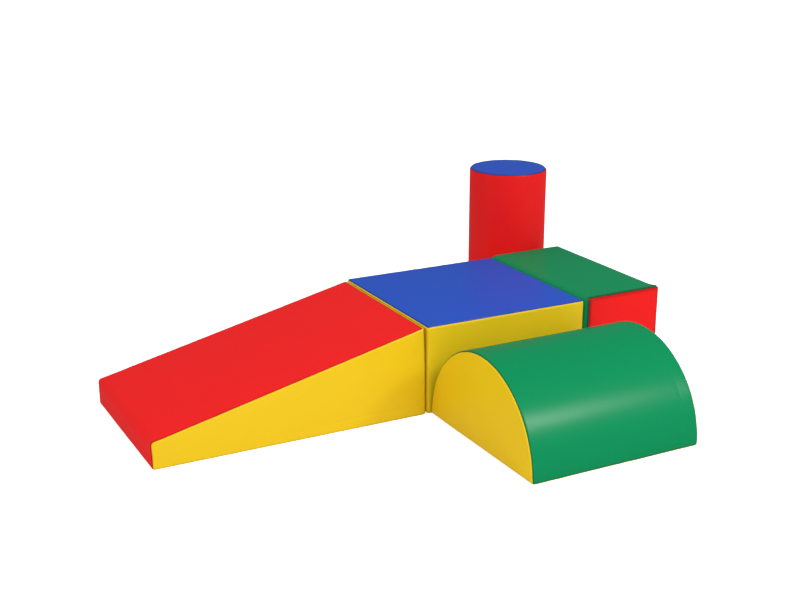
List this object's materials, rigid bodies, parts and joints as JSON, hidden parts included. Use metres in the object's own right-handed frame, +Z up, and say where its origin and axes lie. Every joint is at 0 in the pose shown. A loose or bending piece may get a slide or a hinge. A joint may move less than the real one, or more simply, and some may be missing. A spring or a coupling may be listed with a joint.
{
  "type": "soft play foam climber",
  "caption": "Soft play climber of covered foam shapes: a ramp, a square block and a step in a row, a half round in front and an upright cylinder behind.",
  "frame": {"origin": "on the floor under the middle of the square block's base", "axes": "+X from the ramp's nose over the block to the step, +Y to the back where the cylinder stands, +Z up"},
  "size_m": [1.5184, 1.2488, 0.496],
  "materials": {
    "red_cover": "smooth satin coated fabric, red",
    "yellow_cover": "smooth satin coated fabric, yellow",
    "blue_cover": "smooth satin coated fabric, blue",
    "green_cover": "smooth satin coated fabric, green",
    "foam": null,
    "zip_tape": "woven black tape",
    "zip_chain": "black nylon",
    "zip_slider": "plain die cast"
  },
  "bodies": {
    "block": {"block_foam_core": "foam", "block_top_cover": "blue_cover", "block_front_cover": "yellow_cover", "block_back_cover": "yellow_cover", "block_left_cover": "yellow_cover", "block_right_cover": "yellow_cover", "block_base_cover": "yellow_cover", "block_zip_tape": "zip_tape", "block_zip_chain": "zip_chain"},
    "block_slider": {"block_zip_slider": "zip_slider"},
    "ramp": {"ramp_foam_core": "foam", "ramp_slope_cover": "red_cover", "ramp_near_side_cover": "yellow_cover", "ramp_far_side_cover": "yellow_cover", "ramp_high_end_cover": "yellow_cover", "ramp_base_cover": "yellow_cover", "ramp_zip_tape": "zip_tape", "ramp_zip_chain": "zip_chain"},
    "ramp_slider": {"ramp_zip_slider": "zip_slider"},
    "step": {"step_foam_core": "foam", "step_wrap_cover": "green_cover", "step_front_end_cover": "red_cover", "step_back_end_cover": "red_cover", "step_base_cover": "green_cover", "step_zip_tape": "zip_tape", "step_zip_chain": "zip_chain"},
    "step_slider": {"step_zip_slider": "zip_slider"},
    "half_round": {"half_round_foam_core": "foam", "half_round_curved_cover": "green_cover", "half_round_left_end_cover": "yellow_cover", "half_round_right_end_cover": "yellow_cover", "half_round_base_cover": "yellow_cover", "half_round_zip_tape": "zip_tape", "half_round_zip_chain": "zip_chain"},
    "half_round_slider": {"half_round_zip_slider": "zip_slider"},
    "cylinder": {"cylinder_foam_core": "foam", "cylinder_side_cover": "red_cover", "cylinder_top_cover": "blue_cover", "cylinder_base_cover": "blue_cover", "cylinder_zip_tape": "zip_tape", "cylinder_zip_chain": "zip_chain"},
    "cylinder_slider": {"cylinder_zip_slider": "zip_slider"}
  },
  "joints": [
    {"name": "ramp_pull_away", "type": "slide", "parent": "block", "child": "ramp", "axis": [-1, 0, 0], "range_m": [0, 0.6]},
    {"name": "step_pull_away", "type": "slide", "parent": "block", "child": "step", "axis": [1, 0, 0], "range_m": [0, 0.6]},
    {"name": "half_round_pull_away", "type": "slide", "parent": "block", "child": "half_round", "axis": [0, -1, 0], "range_m": [0, 0.6]},
    {"name": "cylinder_pull_away", "type": "slide", "parent": "block", "child": "cylinder", "axis": [0, 1, 0], "range_m": [0, 0.6]},
    {"name": "block_zip_open", "type": "slide", "parent": "block", "child": "block_slider", "axis": [1, 0, 0], "range_m": [0, 0.3914]},
    {"name": "ramp_zip_open", "type": "slide", "parent": "ramp", "child": "ramp_slider", "axis": [-1, 0, 0], "range_m": [0, 0.6474]},
    {"name": "step_zip_open", "type": "slide", "parent": "step", "child": "step_slider", "axis": [0, 1, 0], "range_m": [0, 0.4014]},
    {"name": "half_round_zip_open", "type": "slide", "parent": "half_round", "child": "half_round_slider", "axis": [0, -1, 0], "range_m": [0, 0.3829]},
    {"name": "cylinder_zip_open", "type": "slide", "parent": "cylinder", "child": "cylinder_slider", "axis": [0, 0, 1], "range_m": [0, 0.3834]}
  ]
}
